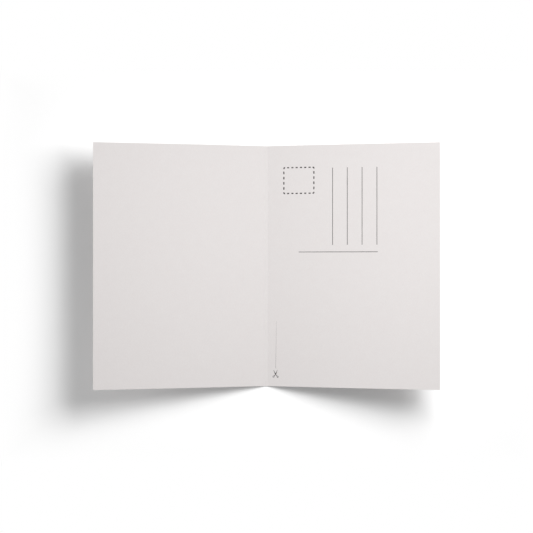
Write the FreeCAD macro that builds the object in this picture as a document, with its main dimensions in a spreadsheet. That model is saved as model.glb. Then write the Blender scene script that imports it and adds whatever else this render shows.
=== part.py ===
import FreeCAD, Part
import math
import os

import Sketcher

# Greeting card: one sheet of card, scored and folded once, lying open on its fold with
# both panels raised like a shallow V. Millimetres and degrees. The origin is under the
# middle of the fold. X runs across the two panels, Y along the fold and Z up.

NODE = "folded_card"

SIZES = {
    "card_tall": 148.0,  # along the fold, the long side of a postcard-sized card
    "panel_wide": 105.0,  # from the middle of the fold round to the cut edge
    "thick": 0.38,  # thickness of the card stock
    "spine_wide": 2.0,  # flat strip under the fold, which the card rests on
    "score_wide": 0.8,  # channel that the scoring rule pressed along the middle of that strip
    "score_deep": 0.1,  # how far that channel goes into the card
    "crease_bend": 1.2,  # inner radius of the bend at each side of that strip
    "panel_lean": 9.4,  # angle between a panel and the table
    "panel_curl": 2.8,  # turn of a panel, from its root to its cut edge, under its own weight
}

# A panel leaves the fold a little steeper than it leans, and flattens towards its edge.
ROOT_SLOPE = SIZES["panel_lean"] + SIZES["panel_curl"] / 2

# What the constraints are bound to. A panel's arc is as long as the sheet leaves it, once
# half of the spine and one bend, measured in the middle of the thickness, are taken off.
# The score is an arc with its ends on the underside, so its radius follows its two sizes.
ROOT_SLOPE_RULE = "Sizes.panel_lean + Sizes.panel_curl / 2"
BEND_LONG_RULE = f"(Sizes.crease_bend + Sizes.thick / 2) * ({ROOT_SLOPE_RULE}) * pi / 180"
PANEL_LONG_RULE = f"Sizes.panel_wide - Sizes.spine_wide / 2 - {BEND_LONG_RULE}"
PANEL_RADIUS_RULE = f"({PANEL_LONG_RULE}) * 180 / pi / Sizes.panel_curl"


def add_sizes(doc):
    """Write the driving dimensions to a sheet, one alias for each."""
    sheet = doc.addObject("Spreadsheet::Sheet", "Sizes")
    for row, (name, value) in enumerate(SIZES.items(), start=1):
        sheet.set(f"A{row}", name)
        sheet.set(f"B{row}", str(value))
        sheet.setAlias(f"B{row}", name)
    doc.recompute()
    return sheet


def origin_plane(body, role):
    """The body's own plane with this role, such as XZ_Plane."""
    return next(item for item in body.Origin.OriginFeatures if item.Role == role)


def swing(centre, radius, angle):
    """A point at a radius from a centre, at an angle in degrees from the X axis."""
    turn = math.radians(angle)
    return centre + FreeCAD.Vector(radius * math.cos(turn), radius * math.sin(turn), 0)


def arc(centre, radius, start, end):
    """An arc drawn anticlockwise from one angle to another, in degrees."""
    circle = Part.Circle(centre, FreeCAD.Vector(0, 0, 1), radius)
    return Part.ArcOfCircle(circle, math.radians(start), math.radians(end))


def draw_half_section(sketch):
    """Half of the folded sheet, cut across the fold: half the spine, a bend and a panel."""
    thick = SIZES["thick"]
    bend = SIZES["crease_bend"]
    half_spine = SIZES["spine_wide"] / 2
    bend_long = (bend + thick / 2) * math.radians(ROOT_SLOPE)
    panel_long = SIZES["panel_wide"] - half_spine - bend_long
    panel_radius = panel_long / math.radians(SIZES["panel_curl"])

    # The bend turns up from the spine, about a centre above it. The panel then curves
    # slowly down again, about a centre far below it, on the same radial line.
    bend_centre = FreeCAD.Vector(half_spine, bend + thick, 0)
    bend_end = ROOT_SLOPE - 90
    root = swing(bend_centre, bend + thick, bend_end)
    root_angle = ROOT_SLOPE + 90
    edge_angle = root_angle - SIZES["panel_curl"]
    panel_centre = swing(root, -panel_radius, root_angle)

    # The score's channel is a shallow arc, with its centre below the fold.
    half_score = SIZES["score_wide"] / 2
    score_deep = SIZES["score_deep"]
    score_radius = (half_score**2 + score_deep**2) / (2 * score_deep)
    score_centre = FreeCAD.Vector(0, score_deep - score_radius, 0)
    score_end = math.degrees(math.acos(half_score / score_radius))

    lines = {
        "under": Part.LineSegment(
            FreeCAD.Vector(half_score, 0, 0), FreeCAD.Vector(half_spine, 0, 0)
        ),
        "edge": Part.LineSegment(
            swing(panel_centre, panel_radius, edge_angle),
            swing(panel_centre, panel_radius + thick, edge_angle),
        ),
        "over": Part.LineSegment(
            FreeCAD.Vector(half_spine, thick, 0), FreeCAD.Vector(0, thick, 0)
        ),
        "middle": Part.LineSegment(
            FreeCAD.Vector(0, thick, 0), FreeCAD.Vector(0, score_deep, 0)
        ),
    }
    arcs = {
        "score": arc(score_centre, score_radius, score_end, 90),
        "bend_out": arc(bend_centre, bend + thick, -90, bend_end),
        "bend_in": arc(bend_centre, bend, -90, bend_end),
        "panel_under": arc(panel_centre, panel_radius, edge_angle, root_angle),
        "panel_over": arc(panel_centre, panel_radius + thick, edge_angle, root_angle),
    }
    drawn = {**lines, **arcs}
    return {name: sketch.addGeometry(shape, False) for name, shape in drawn.items()}


def constrain_half_section(sketch, at):
    """Join the section's lines and arcs, and bind their sizes to the sheet."""
    START, END, CENTRE = 1, 2, 3
    ACROSS, UPRIGHT = -1, -2

    def rule(*words):
        return sketch.addConstraint(Sketcher.Constraint(*words))

    def sized(name, expression, *words):
        place = rule(*words)
        sketch.renameConstraint(place, name)
        sketch.setExpression(f"Constraints.{name}", expression)

    def from_middle(name, expression, way, line, point, value):
        sized(name, expression, way, ACROSS, START, at[line], point, value)

    rule("PointOnObject", at["score"], CENTRE, UPRIGHT)
    rule("PointOnObject", at["score"], END, UPRIGHT)
    rule("Coincident", at["score"], START, at["under"], START)
    rule("PointOnObject", at["under"], START, ACROSS)
    rule("Horizontal", at["under"])
    rule("Tangent", at["under"], END, at["bend_out"], START)
    rule("Tangent", at["bend_out"], END, at["panel_under"], END)
    rule("Coincident", at["panel_under"], START, at["edge"], START)
    rule("Coincident", at["edge"], END, at["panel_over"], START)
    rule("PointOnObject", at["panel_under"], CENTRE, at["edge"])
    rule("Tangent", at["panel_over"], END, at["bend_in"], END)
    rule("Tangent", at["bend_in"], START, at["over"], START)
    rule("Horizontal", at["over"])
    rule("Coincident", at["over"], END, at["middle"], START)
    rule("Coincident", at["middle"], END, at["score"], END)
    rule("Vertical", at["middle"])
    rule("Coincident", at["bend_in"], CENTRE, at["bend_out"], CENTRE)
    rule("Coincident", at["panel_over"], CENTRE, at["panel_under"], CENTRE)

    half_score = SIZES["score_wide"] / 2
    half_spine = SIZES["spine_wide"] / 2
    curl = math.radians(SIZES["panel_curl"])
    radius = sketch.Geometry[at["panel_under"]].Radius
    from_middle("HalfScore", "Sizes.score_wide / 2", "DistanceX", "under", START, half_score)
    from_middle("ScoreDepth", "Sizes.score_deep", "DistanceY", "score", END, SIZES["score_deep"])
    from_middle("HalfSpine", "Sizes.spine_wide / 2", "DistanceX", "under", END, half_spine)
    from_middle("Thickness", "Sizes.thick", "DistanceY", "over", END, SIZES["thick"])
    sized("CreaseBend", "Sizes.crease_bend", "Radius", at["bend_in"], SIZES["crease_bend"])
    sized("RootSlope", ROOT_SLOPE_RULE, "Angle", at["bend_out"], math.radians(ROOT_SLOPE))
    sized("PanelCurl", "Sizes.panel_curl", "Angle", at["panel_under"], curl)
    sized("PanelRadius", PANEL_RADIUS_RULE, "Radius", at["panel_under"], radius)


def add_card(doc):
    """The card: one half padded along the fold, and mirrored across the fold."""
    body = doc.addObject("PartDesign::Body", "FoldedCard")
    body.Label = NODE

    section = body.newObject("Sketcher::SketchObject", "HalfSection")
    section.AttachmentSupport = (origin_plane(body, "XZ_Plane"), [""])
    section.MapMode = "FlatFace"
    constrain_half_section(section, draw_half_section(section))
    doc.recompute()

    panel = body.newObject("PartDesign::Pad", "Panel")
    panel.Profile = section
    panel.SideType = "Symmetric"
    panel.setExpression("Length", "Sizes.card_tall")
    doc.recompute()

    both = body.newObject("PartDesign::Mirrored", "BothPanels")
    both.Originals = [panel]
    both.MirrorPlane = (origin_plane(body, "YZ_Plane"), [""])
    both.Refine = True
    body.Tip = both
    body.Placement = FreeCAD.Placement()
    return body


def check(doc):
    """Stop if a feature failed, or a body has no valid single solid."""
    for item in doc.Objects:
        if {"Invalid", "Error"} & set(item.State):
            raise RuntimeError(f"{item.Label} failed: {item.State}")
    for body in doc.findObjects("PartDesign::Body"):
        if body.Shape.isNull() or not body.Shape.isValid():
            raise RuntimeError(f"{body.Label} has no valid shape")
        if len(body.Shape.Solids) != 1:
            raise RuntimeError(f"{body.Label} isn't one solid")


def report(body):
    """Print the size of the card, and its volume against that of the flat sheet."""
    box = body.Shape.BoundBox
    flat = 2 * SIZES["panel_wide"] * SIZES["card_tall"] * SIZES["thick"]
    print(f"{body.Label}: {box.XLength:.2f} x {box.YLength:.2f} x {box.ZLength:.2f} mm")
    print(f"volume {body.Shape.Volume:.1f} mm3, flat sheet {flat:.1f} mm3")
    print(f"underside at z = {box.ZMin:.4f}, faces {len(body.Shape.Faces)}")


doc = FreeCAD.newDocument("GreetingCard")
add_sizes(doc)
card = add_card(doc)
doc.recompute()
check(doc)
report(card)

os.makedirs("parts", exist_ok=True)
card.Shape.exportStep(f"parts/{card.Label}.step")
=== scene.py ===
# %% [markdown]
# # A folded greeting card
#
# The real object is one sheet of uncoated card, scored down the middle, folded, and laid
# open on its fold. Its two panels rise a little to each side, like a very shallow V. The
# right-hand panel has a writing layout printed on it in dark grey ink.
#
# The sheet itself comes ready as a CAD model, and it is right as it is. So this lesson is
# about what is left: a camera, thin ink that follows the sheet's curve, a card material
# that reads as fibres and not as plastic, and soft light that is kind to a white object.

# %% Load the folded sheet
import math

import bpy
import bmesh
from mathutils import Matrix, Vector
from mathutils.bvhtree import BVHTree


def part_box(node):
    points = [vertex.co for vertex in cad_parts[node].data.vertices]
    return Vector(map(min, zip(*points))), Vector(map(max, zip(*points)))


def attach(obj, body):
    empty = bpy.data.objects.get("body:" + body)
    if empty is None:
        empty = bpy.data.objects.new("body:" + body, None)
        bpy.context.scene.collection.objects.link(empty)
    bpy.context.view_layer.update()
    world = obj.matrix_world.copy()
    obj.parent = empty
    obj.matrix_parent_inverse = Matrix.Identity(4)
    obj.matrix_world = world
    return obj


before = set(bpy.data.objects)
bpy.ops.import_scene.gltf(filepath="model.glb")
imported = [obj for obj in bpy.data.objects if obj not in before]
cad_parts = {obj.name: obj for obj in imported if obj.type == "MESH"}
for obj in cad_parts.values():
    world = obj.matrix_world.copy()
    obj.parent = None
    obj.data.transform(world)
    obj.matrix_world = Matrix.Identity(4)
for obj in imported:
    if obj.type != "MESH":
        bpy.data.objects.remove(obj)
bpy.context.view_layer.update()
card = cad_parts["folded_card"]

MM = 0.001
card_low, card_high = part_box("folded_card")
card_size = card_high - card_low
print("card, mm:", [round(side / MM, 2) for side in card_size])

# %% [markdown]
# ## The camera
#
# The photograph looks straight down on the middle of the card. Two things fix the camera.
# The panels' outer edges are about 17 mm nearer to it than the fold and look 3.4 % larger,
# which puts the camera a little over half a metre up. The card then has to fill 65 % of
# the picture's width, and that gives the focal length.
#
# A camera that isn't turned looks down its own Z axis, with Y up in the picture, which is
# just what is needed here.

# %% Camera
CAMERA_HIGH = 525 * MM
CAMERA_OFF_MIDDLE = Vector((-0.03, -0.25)) * MM
LENS = 57.44  # for Blender's usual sensor, 36 mm wide

camera_data = bpy.data.cameras.new("camera")
camera_data.lens = LENS
camera = bpy.data.objects.new("camera", camera_data)
camera.location = (CAMERA_OFF_MIDDLE.x, CAMERA_OFF_MIDDLE.y, CAMERA_HIGH)
bpy.context.scene.collection.objects.link(camera)
bpy.context.scene.camera = camera
bpy.context.scene.view_settings.view_transform = "Standard"

edge_scale = CAMERA_HIGH / (CAMERA_HIGH - card_size.z)
print(f"the raised edges look {edge_scale:.3f} times as large as the fold")

# %% [markdown]
# ## Ink that lies on paper
#
# Print on card is a film of ink a few thousandths of a millimetre thick. It could be a
# mask inside the card's material, but a mask has to be baked to a texture when the model
# leaves Blender, and a hairline 0.35 mm wide on a sheet 210 mm wide comes out blurred.
# Here each printed mark is a mesh of its own, so its edges stay crisp at any distance.
#
# A mark is drawn flat first, in the plane of the page, as thin strips and arcs. Then it is
# given a little thickness and dropped straight down onto the sheet. Long strips are cut
# into short lengths before that, because a strip with no cuts would stay straight where
# the sheet is bowed, and would sink into it.

# %% Drop a flat drawing onto the card
INK_PROUD = 0.02 * MM  # how far a film stands out: more than real ink, so that it never flickers
INK_SUNK = 0.03 * MM  # how far its hidden underside goes into the card
SAME_PLACE = 0.001 * MM  # corners that are closer together than this are one corner
ABOVE_CARD = 2 * card_size.z

card_surface = BVHTree.FromObject(card, bpy.context.evaluated_depsgraph_get())


def height_on_card(place):
    """The height of the card's upper face under a place on the page."""
    above = Vector((place.x, place.y, ABOVE_CARD))
    return card_surface.ray_cast(above, Vector((0, 0, -1)))[0].z


def print_on_card(name, drawing):
    """Give a flat drawing thickness, lay it on the card and make it an object."""
    bmesh.ops.remove_doubles(drawing, verts=drawing.verts, dist=SAME_PLACE)
    grown = bmesh.ops.extrude_face_region(drawing, geom=drawing.faces[:])["geom"]
    top = {item for item in grown if isinstance(item, bmesh.types.BMVert)}
    for vert in drawing.verts:
        vert.co.z = height_on_card(vert.co) + (INK_PROUD if vert in top else -INK_SUNK)
    bmesh.ops.recalc_face_normals(drawing, faces=drawing.faces)

    mesh = bpy.data.meshes.new(name)
    drawing.to_mesh(mesh)
    drawing.free()
    piece = bpy.data.objects.new(name, mesh)
    bpy.context.scene.collection.objects.link(piece)
    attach(piece, "root")
    print(f"{name}: {len(mesh.polygons)} faces")
    return piece


half_way = Vector((card_high.x / 2, 0))
print(f"half way across a panel, the card's face is {height_on_card(half_way) / MM:.2f} mm up")

# %% [markdown]
# ## Strokes
#
# Every mark on the page is made of two kinds of stroke. A straight stroke is a grid, one
# square deep and as many squares long as its length asks for, which one matrix stretches,
# turns and moves into place. A curved stroke is a short edge as long as the pen is wide,
# spun about a centre.

# %% Straight and curved strokes
CUT_EVERY = 2 * MM  # a long strip is cut into lengths of about this


def straight_stroke(drawing, start, end, wide, tip=1.0):
    """Draw a flat strip from start to end. Tip is the share of its width that is left at the end."""
    along = end - start
    lengths = max(1, math.ceil(along.length / CUT_EVERY))
    half = 0.5  # half of the grid's side, which is one unit long
    strip = bmesh.ops.create_grid(drawing, x_segments=lengths, y_segments=1, size=half)["verts"]
    for vert in strip:
        vert.co.y *= 1 - (1 - tip) * (vert.co.x + half)
    turn = Matrix.Rotation(math.atan2(along.y, along.x), 4, "Z")
    place = Matrix.Translation(((start + end) / 2).to_3d())
    stretch = Matrix.Diagonal((along.length, wide, 1, 1))
    bmesh.ops.transform(drawing, matrix=place @ turn @ stretch, verts=strip)


def curved_stroke(drawing, centre, radius, wide, start, sweep, steps):
    """Draw a flat strip along an arc, from a start angle through a sweep, in degrees."""
    out = Matrix.Rotation(math.radians(start), 2) @ Vector((1, 0))
    sides = (radius - wide / 2, radius + wide / 2)
    ends = [drawing.verts.new((centre + out * side).to_3d()) for side in sides]
    edge = drawing.edges.new(ends)
    bmesh.ops.spin(
        drawing,
        geom=[*ends, edge],
        cent=centre.to_3d(),
        axis=(0, 0, 1),
        angle=math.radians(sweep),
        steps=steps,
        use_merge=sweep == 360,
        use_duplicate=False,
    )


# %% [markdown]
# ## The stamp box
#
# The dashed box shows where a stamp goes. It is a rounded rectangle, and its dashes are
# shared out so that each corner has one bent dash in its middle. Between the corners the
# dashes and the gaps are equally long, so the number of dashes on a side is all that
# there is to choose, and their length follows from it.

# %% Stamp box
STAMP_LOW = Vector((10.65, 44.57)) * MM
STAMP_HIGH = Vector((28.91, 60.41)) * MM
STAMP_CORNER = 0.5 * MM
STAMP_DASHES = (6, 4)  # along the top and bottom, and up each side, without the corners
DASH_WIDE = 0.75 * MM
CORNER_LEG = 0.3 * MM  # how far a corner's dash runs on along each side
CORNER_STEPS = 6


def dashes_between(drawing, first_corner, last_corner, count):
    """Draw dashes along one side, spaced from the middle of one corner dash to the other."""
    step = (last_corner - first_corner) / (count + 1)
    half_dash = step / 4  # dash and gap share each step equally
    for number in range(1, count + 1):
        middle = first_corner + step * number
        straight_stroke(drawing, middle - half_dash, middle + half_dash, DASH_WIDE)


def corner_dash(drawing, corner, inward, start):
    """Draw a bent dash: a quarter turn with a short straight leg on each end."""
    centre = corner + inward * STAMP_CORNER
    leg = inward * CORNER_LEG
    curved_stroke(drawing, centre, STAMP_CORNER, DASH_WIDE, start, 90, CORNER_STEPS)
    feet = (Vector((centre.x, corner.y)), Vector((corner.x, centre.y)))
    ways = (Vector((leg.x, 0)), Vector((0, leg.y)))
    for foot, way in zip(feet, ways):
        straight_stroke(drawing, foot, foot + way, DASH_WIDE)


stamp = bmesh.new()
left, low = STAMP_LOW
right, high = STAMP_HIGH
corners = [Vector(place) for place in ((left, low), (right, low), (right, high), (left, high))]
inwards = [Vector(way) for way in ((1, 1), (-1, 1), (-1, -1), (1, -1))]
for side, corner in enumerate(corners):
    next_corner = corners[(side + 1) % len(corners)]
    dashes_between(stamp, corner, next_corner, STAMP_DASHES[side % 2])
    corner_dash(stamp, corner, inwards[side], 180 + 90 * side)
stamp_box = print_on_card("stamp_box", stamp)

# %% [markdown]
# ## The address lines
#
# Four hairlines run down the page beside the stamp box, one for each line of an address
# that is written with the card turned on its side. A longer hairline closes the layout
# underneath. They are far thinner than the dashes, about a third of a millimetre.

# %% Address lines and the line under them
HAIRLINE_WIDE = 0.35 * MM
ADDRESS_FIRST = 40.18 * MM
ADDRESS_STEP = 8.81 * MM
ADDRESS_LINES = 4
ADDRESS_LOW, ADDRESS_HIGH = 12.95 * MM, 59.9 * MM

address = bmesh.new()
for number in range(ADDRESS_LINES):
    across = ADDRESS_FIRST + number * ADDRESS_STEP
    ends = [Vector((across, along)) for along in (ADDRESS_LOW, ADDRESS_HIGH)]
    straight_stroke(address, *ends, HAIRLINE_WIDE)
address_lines = print_on_card("address_lines", address)

DIVIDER_LOW = 8.65 * MM
DIVIDER_ACROSS = (19.7 * MM, 67.1 * MM)

divider = bmesh.new()
ends = [Vector((across, DIVIDER_LOW)) for across in DIVIDER_ACROSS]
straight_stroke(divider, *ends, HAIRLINE_WIDE)
divider_line = print_on_card("divider_line", divider)

# %% [markdown]
# ## The cutting line
#
# Beside the fold, a very faint line shows where the page is meant to be cut off. It is
# printed in the same ink as the rest, only finer, and it thins out upwards. So it is one
# straight stroke with a narrow tip. A paler ink would look much the same from a step away,
# but would need a material of its own.

# %% Cutting line
FAINT_WIDE = 0.12 * MM
FAINT_TIP = 0.4  # the share of that width which is left at its top
CUT_TOP = Vector((6.1, -34)) * MM
CUT_END = Vector((5.62, -63)) * MM

cut = bmesh.new()
straight_stroke(cut, CUT_END, CUT_TOP, FAINT_WIDE, FAINT_TIP)
cutting_line = print_on_card("cutting_line", cut)

# %% [markdown]
# ## The scissors
#
# The line ends in a small pair of open scissors. At 5 mm tall they are only a sign, so
# they have as much form as the print has. Two blades that taper almost to a point and two
# shanks meet at a round pivot, and each shank ends on a ring for a finger. One half is
# drawn in a loop that runs twice, and a matrix mirrors it the second time.

# %% Scissors
PIVOT = Vector((5.54, -66.7)) * MM
PIVOT_RADIUS = 0.24 * MM
PIVOT_SIDES = 16
BLADE_REACH = Vector((1.2, 2.8)) * MM  # from the pivot to a blade's tip
BLADE_WIDE = 0.58 * MM
BLADE_TIP = 0.15  # the share of that width which is left at the tip
SHANK_WIDE = 0.36 * MM
RING_REACH = Vector((1.27, -1.45)) * MM  # from the pivot to the middle of a finger ring
RING_RADIUS = 0.42 * MM
RING_WIDE = 0.25 * MM
RING_STEPS = 24

scissors = bmesh.new()
bmesh.ops.create_circle(
    scissors,
    cap_ends=True,
    segments=PIVOT_SIDES,
    radius=PIVOT_RADIUS,
    matrix=Matrix.Translation(PIVOT.to_3d()),
)
for side in (-1, 1):
    mirror = Matrix.Diagonal((side, 1))
    blade = mirror @ BLADE_REACH
    heel = PIVOT + blade.normalized() * PIVOT_RADIUS
    straight_stroke(scissors, heel, PIVOT + blade, BLADE_WIDE, BLADE_TIP)
    reach = mirror @ RING_REACH
    ring = PIVOT + reach
    shank = reach.normalized()
    straight_stroke(scissors, PIVOT + shank * PIVOT_RADIUS, ring - shank * RING_RADIUS, SHANK_WIDE)
    curved_stroke(scissors, ring, RING_RADIUS, RING_WIDE, 0, 360, RING_STEPS)
scissors_mark = print_on_card("scissors_mark", scissors)

# %% [markdown]
# ## Colours and nodes
#
# Colours are chosen as sRGB hex values, the way that a picture shows them, and one
# function turns them into the linear values that Blender calculates with. A second small
# function adds a node: it takes the node's own settings, the values of its sockets, and
# the links into them, so that a material reads as a list of what it is made of.

# %% Helpers for materials
# The Mix node's colour sockets share their names with its other sockets, so they go by place.
FIRST_COLOUR, SECOND_COLOUR, MIXED_COLOUR = 6, 7, 2


def colour(hex_value):
    """An sRGB hex value as linear red, green, blue and an alpha of 1."""
    channels = [int(hex_value[place : place + 2], 16) / 255 for place in (1, 3, 5)]
    return [c / 12.92 if c <= 0.04045 else ((c + 0.055) / 1.055) ** 2.4 for c in channels] + [1.0]


def add(tree, kind, settings=None, values=None, links=None):
    """Add a node to a tree, with its settings, its sockets' values and the links into it."""
    made = tree.nodes.new(kind)
    for name, value in (settings or {}).items():
        setattr(made, name, value)
    for socket, value in (values or {}).items():
        made.inputs[socket].default_value = value
    for socket, source in (links or {}).items():
        tree.links.new(source, made.inputs[socket])
    return made


def new_material(name):
    """An empty material with an output node, and its tree."""
    material = bpy.data.materials.new(name)
    material.use_nodes = True
    material.node_tree.nodes.clear()
    return material, material.node_tree, material.node_tree.nodes.new("ShaderNodeOutputMaterial")


print("a white of #FFFFFF is", colour("#FFFFFF"))

# %% [markdown]
# ## Uncoated card: its fibres
#
# The stock is woodfree card of about 300 g/m2, calendered but not coated. Close up, its
# fibres tell it from plastic. They lie in loose clouds a few millimetres wide, which
# papermakers call formation, so its white is never quite even. And its face has a fine
# tooth, longer along the fold than across it, because card is folded along its grain.
#
# Two noise patterns stand for these. The first is round and broad. The second is squeezed
# across the fold with a Mapping node. Real fibres are about 0.03 mm wide, finer than this
# picture can show, so the tooth is drawn 0.3 mm wide and 1.2 mm long.

# %% Fibres of the card stock
FORMATION_MM = 5
TOOTH_ACROSS_MM, TOOTH_ALONG_MM = 0.3, 1.2
FORMATION_SHARE = 0.3  # how much the clouds count beside the tooth

card_stock, tree, output = new_material("uncoated_card_stock")
place = add(tree, "ShaderNodeTexCoord").outputs["Object"]

formation = add(
    tree,
    "ShaderNodeTexNoise",
    values={"Scale": 1 / (FORMATION_MM * MM), "Detail": 4, "Roughness": 0.6},
    links={"Vector": place},
).outputs["Fac"]

per_tooth = Vector((1 / TOOTH_ACROSS_MM, 1 / TOOTH_ALONG_MM, 1 / TOOTH_ACROSS_MM)) / MM
stretched = add(
    tree, "ShaderNodeMapping", values={"Scale": per_tooth}, links={"Vector": place}
).outputs["Vector"]
tooth = add(
    tree,
    "ShaderNodeTexNoise",
    values={"Scale": 1, "Detail": 3, "Roughness": 0.65, "Distortion": 0.6},
    links={"Vector": stretched},
).outputs["Fac"]

fibres = add(
    tree,
    "ShaderNodeMath",
    settings={"operation": "MULTIPLY_ADD"},
    values={1: FORMATION_SHARE},
    links={0: formation, 2: tooth},
).outputs["Value"]
print("tooth, repeats in a metre:", [round(repeats) for repeats in per_tooth])

# %% [markdown]
# ## The white of the two faces
#
# The card is a white with a faint warm tint, a few steps below the white of the table.
# Where the fibres lie thin it is a hair darker. Map Range spreads the pattern over the
# whole way from 0 to 1, and Mix turns that into two close whites. The contrast is kept
# low on purpose: the card must still look clean and white from a step away.

# %% Colour of the card's faces
FIBRES_THIN, FIBRES_THICK = 0.4, 0.9  # nearly all of the pattern lies between these two

thickness = add(
    tree,
    "ShaderNodeMapRange",
    values={"From Min": FIBRES_THIN, "From Max": FIBRES_THICK},
    links={"Value": fibres},
).outputs["Result"]
face_colour = add(
    tree,
    "ShaderNodeMix",
    settings={"data_type": "RGBA"},
    values={FIRST_COLOUR: colour("#E2DDDC"), SECOND_COLOUR: colour("#E7E3E2")},
    links={"Factor": thickness},
).outputs[MIXED_COLOUR]
print("card stock, nodes so far:", len(tree.nodes))

# %% [markdown]
# ## The cut edges
#
# A guillotine leaves the edges a little paler and rougher than the faces, and they show
# the card's inside: thin layers of fibre, one above the other. A noise that is squeezed
# flat draws them. Real layers are about 0.02 mm deep, and are drawn three times as deep.
#
# Nothing on the mesh says which faces were cut, but their direction does. A cut edge
# looks sideways, so the upright part of its normal is small.

# %% Colour of the cut edges
EDGE_LAYER_MM, EDGE_STREAK_MM = 0.06, 2
SIDEWAYS = 0.5  # an upright part of the normal that only a cut edge is below

layers_place = add(
    tree,
    "ShaderNodeMapping",
    values={"Scale": Vector((1 / EDGE_STREAK_MM, 1 / EDGE_STREAK_MM, 1 / EDGE_LAYER_MM)) / MM},
    links={"Vector": place},
).outputs["Vector"]
layers = add(
    tree, "ShaderNodeTexNoise", values={"Scale": 1, "Detail": 2}, links={"Vector": layers_place}
).outputs["Fac"]
edge_colour = add(
    tree,
    "ShaderNodeMix",
    settings={"data_type": "RGBA"},
    values={FIRST_COLOUR: colour("#E3DDDA"), SECOND_COLOUR: colour("#F1ECE8")},
    links={"Factor": layers},
).outputs[MIXED_COLOUR]

facing = add(tree, "ShaderNodeNewGeometry").outputs["True Normal"]
upright = add(tree, "ShaderNodeSeparateXYZ", links={"Vector": facing}).outputs["Z"]
level = add(
    tree, "ShaderNodeMath", settings={"operation": "ABSOLUTE"}, links={0: upright}
).outputs["Value"]
on_edge = add(
    tree, "ShaderNodeMath", settings={"operation": "LESS_THAN"}, values={1: SIDEWAYS}, links={0: level}
).outputs["Value"]
stock_colour = add(
    tree,
    "ShaderNodeMix",
    settings={"data_type": "RGBA"},
    links={"Factor": on_edge, FIRST_COLOUR: face_colour, SECOND_COLOUR: edge_colour},
).outputs[MIXED_COLOUR]
print("card stock, nodes so far:", len(tree.nodes))

# %% [markdown]
# ## The sheen, and the pressed fold
#
# Uncoated card has almost no shine, and what there is comes from the flattened tops of
# the fibres. So the roughness follows the tooth, between 0.86 and 0.95. Along the fold the
# scoring rule has pressed the fibres flat, over a strip about as wide as the crease. That
# strip is a little smoother, and its two sides fade out softly. It is also a shallow
# hollow, and the light catches its left side, which is what draws the fold as a fine line.

# %% Roughness of the faces and the fold
TOOTH_LOW, TOOTH_HIGH = 0.3, 0.7  # nearly all of the tooth's pattern lies between these two
SMOOTHEST, DULLEST = 0.86, 0.95
PRESSED_FROM, PRESSED_TO = 0.4 * MM, 1.8 * MM  # where the hollow's side lies, from the fold out
PRESSED_CHANGE = -0.12  # what pressing takes from the roughness

dull = add(
    tree,
    "ShaderNodeMapRange",
    values={"From Min": TOOTH_LOW, "From Max": TOOTH_HIGH, "To Min": SMOOTHEST, "To Max": DULLEST},
    links={"Value": tooth},
).outputs["Result"]
across = add(tree, "ShaderNodeSeparateXYZ", links={"Vector": place}).outputs["X"]
from_fold = add(
    tree, "ShaderNodeMath", settings={"operation": "ABSOLUTE"}, links={0: across}
).outputs["Value"]
pressed = add(
    tree,
    "ShaderNodeMapRange",
    settings={"interpolation_type": "SMOOTHSTEP"},
    values={"From Min": PRESSED_FROM, "From Max": PRESSED_TO, "To Min": 1, "To Max": 0},
    links={"Value": from_fold},
).outputs["Result"]
roughness = add(
    tree,
    "ShaderNodeMath",
    settings={"operation": "MULTIPLY_ADD", "use_clamp": True},
    values={1: PRESSED_CHANGE},
    links={0: pressed, 2: dull},
).outputs["Value"]
print("card stock, nodes so far:", len(tree.nodes))

# %% [markdown]
# ## The card's shader
#
# The hollow along the fold and the tooth of the fibres are relief, a few hundredths of a
# millimetre deep. A Bump node turns a height into changes of slope, and a second one adds
# to the first through its Normal. Cellulose has an index of refraction of about 1.5. The
# specular level is lowered from its usual 0.5, because the open surface swallows part of
# the reflection. Values that are the same all over stay on the shader's own sockets, so
# that they survive when the model is exported.

# %% Card stock shader
TOOTH_DEEP = 0.03 * MM
TOOTH_STRENGTH = 0.25
HOLLOW_DEEP = 0.07 * MM
CELLULOSE_IOR = 1.5
OPEN_SPECULAR = 0.3  # specular level of a surface that is full of tiny gaps

hollow = add(
    tree,
    "ShaderNodeBump",
    settings={"invert": True},
    values={"Strength": 1, "Distance": HOLLOW_DEEP},
    links={"Height": pressed},
).outputs["Normal"]
bump = add(
    tree,
    "ShaderNodeBump",
    values={"Strength": TOOTH_STRENGTH, "Distance": TOOTH_DEEP},
    links={"Height": fibres, "Normal": hollow},
).outputs["Normal"]
card_shader = add(
    tree,
    "ShaderNodeBsdfPrincipled",
    values={"Metallic": 0, "IOR": CELLULOSE_IOR, "Specular IOR Level": OPEN_SPECULAR},
    links={"Base Color": stock_colour, "Roughness": roughness, "Normal": bump},
)
tree.links.new(card_shader.outputs["BSDF"], output.inputs["Surface"])
card.material_slots[0].material = card_stock
print(f"{card_stock.name}: {len(tree.nodes)} nodes")

# %% [markdown]
# ## Printing ink
#
# The ink is a dark grey, offset printed on uncoated stock. The sheet drinks some of it, so
# it dries matt, and the tops of the fibres carry less ink than the hollows between them.
# That leaves a speckle finer than 0.1 mm. It is drawn 0.15 mm wide here, between two greys
# that lie some thirty steps apart. From a step away they blend into one. The film is so
# thin that the open surface of the card shows through it, so its specular level is the
# card's, and the resin that binds it bends light about as cellulose does.

# %% Ink material
SPECKLE_MM = 0.15
SPECKLE_DARK, SPECKLE_PALE = 0.35, 0.65  # most of the noise lies between these two
RESIN_IOR = 1.5
INK_SMOOTHEST, INK_DULLEST = 0.6, 0.75

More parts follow.
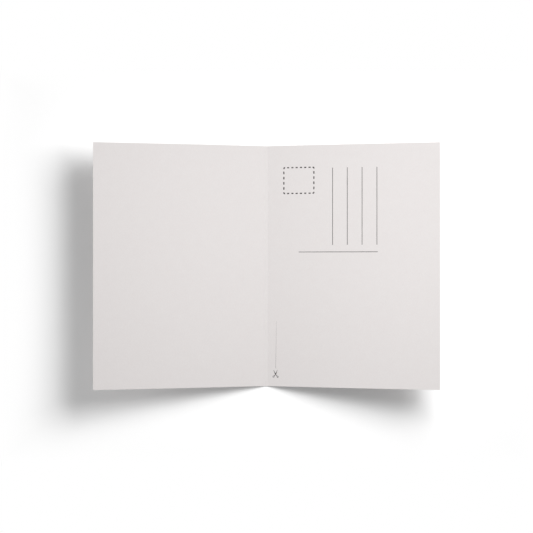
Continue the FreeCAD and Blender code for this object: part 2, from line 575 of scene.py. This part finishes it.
ink, tree, output = new_material("dark_grey_offset_ink")
place = add(tree, "ShaderNodeTexCoord").outputs["Object"]
noise = add(
    tree,
    "ShaderNodeTexNoise",
    values={"Scale": 1 / (SPECKLE_MM * MM), "Detail": 2, "Roughness": 0.5},
    links={"Vector": place},
).outputs["Fac"]
speckle = add(
    tree,
    "ShaderNodeMapRange",
    values={"From Min": SPECKLE_DARK, "From Max": SPECKLE_PALE},
    links={"Value": noise},
).outputs["Result"]
ink_colour = add(
    tree,
    "ShaderNodeMix",
    settings={"data_type": "RGBA"},
    values={FIRST_COLOUR: colour("#3E3B3B"), SECOND_COLOUR: colour("#5C5858")},
    links={"Factor": speckle},
).outputs[MIXED_COLOUR]
ink_dull = add(
    tree,
    "ShaderNodeMapRange",
    values={"To Min": INK_SMOOTHEST, "To Max": INK_DULLEST},
    links={"Value": speckle},
).outputs["Result"]
ink_shader = add(
    tree,
    "ShaderNodeBsdfPrincipled",
    values={"Metallic": 0, "IOR": RESIN_IOR, "Specular IOR Level": OPEN_SPECULAR},
    links={"Base Color": ink_colour, "Roughness": ink_dull},
)
tree.links.new(ink_shader.outputs["BSDF"], output.inputs["Surface"])

marks = (stamp_box, address_lines, divider_line, cutting_line, scissors_mark)
for mark in marks:
    mark.data.materials.append(ink)
print(f"{ink.name}: {len(tree.nodes)} nodes, on {len(marks)} marks")

# %% [markdown]
# ## The white table
#
# The table is a flat white sheet that runs off to every side. Near the card it has to
# answer to light, because it holds the card's shadow. Further out it should be the plain
# white of the photograph, whatever the lamps do. So its shader fades from a matt white to
# a white that shines by itself with a strength of 1. The light that falls on the card
# doesn't change with that.
#
# The fade keeps outside a rectangle about the card and all but the faintest rim of its
# shadow. It is found once for each direction, as a soft step, and the larger of the two
# counts.

# %% Table
TABLE_HALF_WIDE = 3  # metres

table_mesh = bpy.data.meshes.new("table")
table_shape = bmesh.new()
bmesh.ops.create_grid(table_shape, x_segments=1, y_segments=1, size=TABLE_HALF_WIDE)
table_shape.to_mesh(table_mesh)
table_shape.free()
table = bpy.data.objects.new("table", table_mesh)
bpy.context.scene.collection.objects.link(table)
print("the table's side, m:", 2 * TABLE_HALF_WIDE)

# %% Where the table fades
FADE_ACROSS = (135 * MM, 165 * MM)  # from the middle of the card, out to each side
FADE_ALONG = (95 * MM, 122 * MM)  # and up and down the page

white_table, tree, output = new_material("matt_white_table")
place = add(tree, "ShaderNodeTexCoord").outputs["Object"]
parts = add(tree, "ShaderNodeSeparateXYZ", links={"Vector": place}).outputs
steps = []
for axis, (near, far) in (("X", FADE_ACROSS), ("Y", FADE_ALONG)):
    away = add(
        tree, "ShaderNodeMath", settings={"operation": "ABSOLUTE"}, links={0: parts[axis]}
    ).outputs["Value"]
    step = add(
        tree,
        "ShaderNodeMapRange",
        settings={"interpolation_type": "SMOOTHSTEP"},
        values={"From Min": near, "From Max": far},
        links={"Value": away},
    ).outputs["Result"]
    steps.append(step)
fade = add(
    tree, "ShaderNodeMath", settings={"operation": "MAXIMUM"}, links={0: steps[0], 1: steps[1]}
).outputs["Value"]
print("all white from, mm:", [round(far / MM) for near, far in (FADE_ACROSS, FADE_ALONG)])

# %% [markdown]
# ## A white that only a camera sees
#
# The Light Path node tells which kind of ray asks for a colour. Where the table has faded,
# a ray from the camera gets the plain white, and so does one that a mirror or a pane of
# glass sent on. A ray that carries light still meets matt white. The world uses the same
# switch below.

# %% Shader of the table
def seen_directly(tree):
    """A socket that is 1 for camera, mirror and glass rays, and 0 for all others."""
    rays = add(tree, "ShaderNodeLightPath").outputs
    camera_or_mirror = add(
        tree,
        "ShaderNodeMath",
        settings={"operation": "MAXIMUM"},
        links={0: rays["Is Camera Ray"], 1: rays["Is Glossy Ray"]},
    ).outputs["Value"]
    return add(
        tree,
        "ShaderNodeMath",
        settings={"operation": "MAXIMUM"},
        links={0: camera_or_mirror, 1: rays["Is Transmission Ray"]},
    ).outputs["Value"]


shown = add(
    tree, "ShaderNodeMath", settings={"operation": "MULTIPLY"}, links={0: fade, 1: seen_directly(tree)}
).outputs["Value"]
matt = add(tree, "ShaderNodeBsdfDiffuse", values={"Color": colour("#FAFAFA")}).outputs["BSDF"]
plain = add(
    tree, "ShaderNodeEmission", values={"Color": colour("#FFFFFF"), "Strength": 1}
).outputs["Emission"]
table_shader = add(
    tree, "ShaderNodeMixShader", links={"Fac": shown, 1: matt, 2: plain}
).outputs["Shader"]
tree.links.new(table_shader, output.inputs["Surface"])
table_mesh.materials.append(white_table)
print(f"{white_table.name}: {len(tree.nodes)} nodes")

# %% [markdown]
# ## The world's light
#
# Part of the light comes from all sides, as in a white room. It keeps the shadow open and
# the underside of the panels readable. The camera sees the world as plain white, with the
# same switch that the table has.

# %% World
WORLD_LEVEL = 0.3

world = bpy.data.worlds.new("studio")
world.use_nodes = True
tree = world.node_tree
tree.nodes.clear()
output = add(tree, "ShaderNodeOutputWorld")
soft = add(
    tree, "ShaderNodeBackground", values={"Color": colour("#FFFFFF"), "Strength": WORLD_LEVEL}
).outputs["Background"]
white = add(
    tree, "ShaderNodeBackground", values={"Color": colour("#FFFFFF"), "Strength": 1}
).outputs["Background"]
mixed = add(
    tree, "ShaderNodeMixShader", links={"Fac": seen_directly(tree), 1: soft, 2: white}
).outputs["Shader"]
tree.links.new(mixed, output.inputs["Surface"])
bpy.context.scene.world = world
print(f"world: a level of {WORLD_LEVEL}")

# %% [markdown]
# ## Softboxes
#
# The photograph's card is lit very evenly, a touch brighter towards its upper right
# corner, while its shadow falls far out to the lower left. One lamp can't do both: a lamp
# low enough for that shadow would leave the right-hand panel, which leans away from it,
# much darker than the left. A studio solves this with several softboxes, and so does this
# scene. Light linking keeps each one to its own subject.
#
# All of them are rectangles that face the middle of the fold. A lamp's power is worked
# out from the level it gives there. With the world's, the levels add up to just under 1
# on the card, so that a colour looks as it was written and no white on it clips. On the
# table they add up to 1.3, which keeps it white right up to the card.


# %% A softbox and its level
def softbox(name, azimuth, elevation, distance, sides, subjects):
    """An area lamp aimed at the middle of the fold, which lights its subjects only."""
    data = bpy.data.lights.new(name, "AREA")
    data.shape = "RECTANGLE"
    data.size, data.size_y = sides
    lamp = bpy.data.objects.new(name, data)
    swing = math.radians(azimuth)
    lift = math.radians(elevation)
    way = Vector((math.cos(lift) * math.cos(swing), math.cos(lift) * math.sin(swing), math.sin(lift)))
    lamp.location = way * distance
    lamp.rotation_euler = way.to_track_quat("Z", "Y").to_euler()
    lamp.visible_camera = False
    bpy.context.scene.collection.objects.link(lamp)
    lit = bpy.data.collections.new(f"{name}_subjects")
    for subject in subjects:
        lit.objects.link(subject)
    lamp.light_linking.receiver_collection = lit
    return lamp


def set_level(lamp, level):
    """Set a lamp's power from the level that a white surface, flat in the middle, gets from it."""
    way = lamp.location.normalized()
    lamp.data.energy = math.pi**2 * lamp.location.length_squared * level / way.z


# %% The card's lamp
CARD_LAMP_LEVEL = 0.685

card_lamp = softbox(
    "card_lamp",
    azimuth=48.1,
    elevation=75.5,
    distance=489 * MM,
    sides=(80 * MM, 80 * MM),
    subjects=(card, *marks),
)
set_level(card_lamp, CARD_LAMP_LEVEL)
print(f"{card_lamp.name}: {card_lamp.data.energy:.2f} W")

# %% [markdown]
# ## The table's lamps
#
# The table has two lamps of its own, and the card blocks both, so it throws their
# shadows. A key lamp to the upper right throws the shadow that the photograph shows. A
# weak fill lamp, low on the left, lightens it under the raised panel.
#
# In the photograph the shadow is a little larger than the card, as it only is where a
# lamp stands near. But a near lamp makes a bright pool, and the photograph's table is
# evenly white. The Light Falloff node solves that. With its Constant output a lamp is as
# strong far away as it is close by, while its light still spreads from where it stands.


# %% The table's lamps
def keep_even(lamp):
    """Make a lamp as strong at any distance as it is now in the middle of the card."""
    lamp.data.energy /= lamp.location.length_squared
    lamp.data.use_nodes = True
    tree = lamp.data.node_tree
    tree.nodes.clear()
    strength = add(tree, "ShaderNodeLightFalloff", values={"Strength": 1}).outputs["Constant"]
    glow = add(tree, "ShaderNodeEmission", links={"Strength": strength}).outputs["Emission"]
    add(tree, "ShaderNodeOutputLight", links={"Surface": glow})


KEY_LAMP_LEVEL = 0.886
FILL_LAMP_LEVEL = 0.113

key_lamp = softbox(
    "key_lamp",
    azimuth=41.4,
    elevation=38,
    distance=299 * MM,
    sides=(262 * MM, 149 * MM),
    subjects=(table,),
)
fill_lamp = softbox(
    "fill_lamp",
    azimuth=197.9,
    elevation=11.6,
    distance=250 * MM,
    sides=(277 * MM, 98 * MM),
    subjects=(table,),
)
for lamp, level in ((key_lamp, KEY_LAMP_LEVEL), (fill_lamp, FILL_LAMP_LEVEL)):
    set_level(lamp, level)
    keep_even(lamp)
    print(f"{lamp.name}: a strength of {lamp.data.energy:.2f} at any distance")
